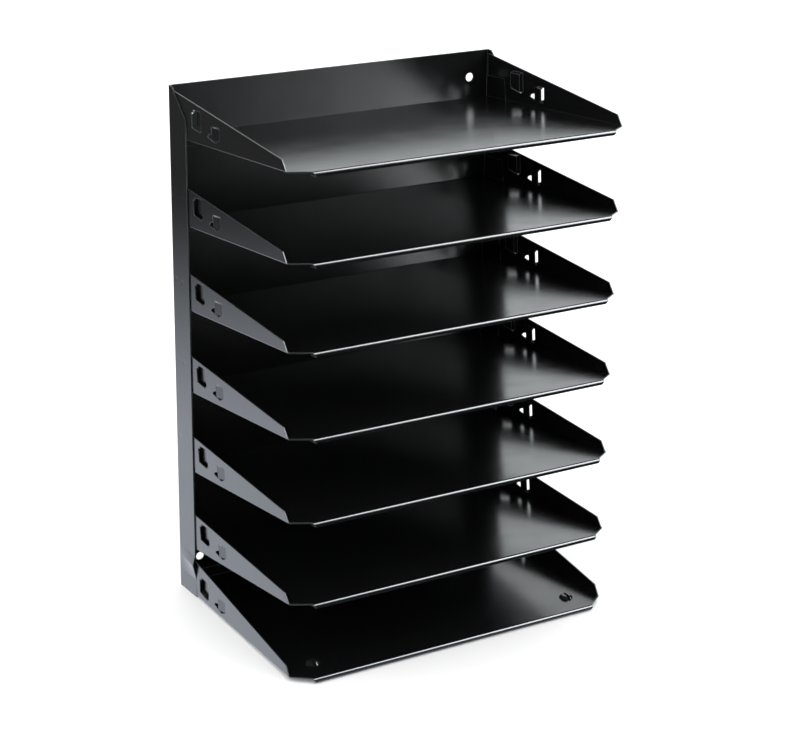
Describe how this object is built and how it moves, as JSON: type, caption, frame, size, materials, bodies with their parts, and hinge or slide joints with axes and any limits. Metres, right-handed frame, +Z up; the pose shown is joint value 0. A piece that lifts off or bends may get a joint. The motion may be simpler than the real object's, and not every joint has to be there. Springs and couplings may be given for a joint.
{
  "type": "desktop file sorter",
  "caption": "Upright desk sorter in black sheet steel: sloping letter trays with low tapered sides, one above the other, spot-welded to a flanged back panel.",
  "frame": {"origin": "centre of the footprint, on the surface that the sorter stands on", "axes": "+Z up, the open front of the trays faces -Y, +X is to the right of someone facing the back panel from the front"},
  "size_m": [0.3098, 0.2176, 0.445],
  "materials": {
    "black_enamel": "semi-gloss baked enamel with a faint orange peel",
    "foot_plastic": "glossy moulded black plastic"
  },
  "bodies": {
    "root": {"back_panel": "black_enamel", "tray_1": "black_enamel", "tray_2": "black_enamel", "tray_3": "black_enamel", "tray_4": "black_enamel", "tray_5": "black_enamel", "tray_6": "black_enamel", "tray_7": "black_enamel", "foot_left": "foot_plastic", "foot_right": "foot_plastic"}
  },
  "joints": []
}
